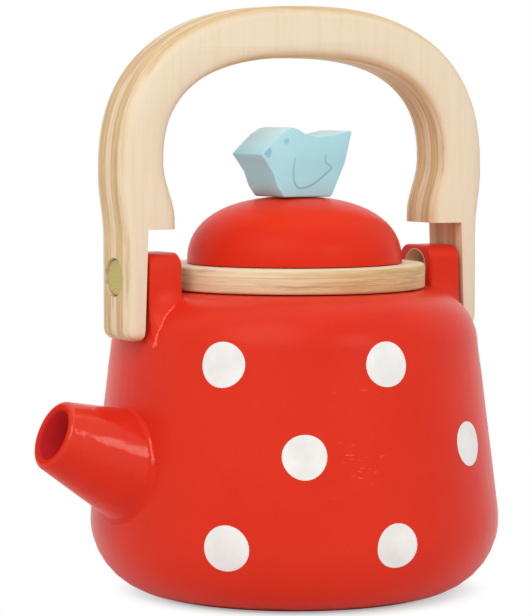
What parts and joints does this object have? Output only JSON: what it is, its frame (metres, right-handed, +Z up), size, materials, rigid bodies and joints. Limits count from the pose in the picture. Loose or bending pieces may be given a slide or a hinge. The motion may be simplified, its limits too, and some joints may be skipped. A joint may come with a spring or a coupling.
{
  "type": "toy kettle",
  "caption": "Turned wooden toy kettle with a conical spout, a swinging plywood arch handle and a lift-off domed lid with a bird-shaped knob.",
  "frame": {"origin": "middle of the flat base, where the kettle stands", "axes": "+Z up; the spout points to -X; the handle at rest, the spout and the bird lie in the XZ plane"},
  "size_m": [0.1431, 0.1194, 0.17],
  "materials": {
    "red_paint": "satin red paint",
    "plywood": "sanded plywood, clear lacquer",
    "dowel_wood": "bare end-grain dowel",
    "bare_wood": "sanded bare wood",
    "blue_paint": "matt pale blue paint"
  },
  "bodies": {
    "kettle": {"body_shell": "red_paint", "spout": "red_paint", "front_lug": "red_paint", "rear_lug": "red_paint", "front_pivot_pin": "dowel_wood", "rear_pivot_pin": "dowel_wood"},
    "handle": {"handle": "plywood"},
    "lid": {"lid_rim": "plywood", "lid_dome": "red_paint", "lid_plug": "bare_wood", "lid_dowel": "bare_wood", "bird_knob": "blue_paint"}
  },
  "joints": [
    {"name": "handle_swing", "type": "hinge", "parent": "kettle", "child": "handle", "pos_m": [0, 0, 0.0931], "axis": [1, 0, 0], "range_deg": [-86, 86]},
    {"name": "lid_lift", "type": "slide", "parent": "kettle", "child": "lid", "axis": [0, 0, 1], "range_m": [0, 0.018]}
  ]
}
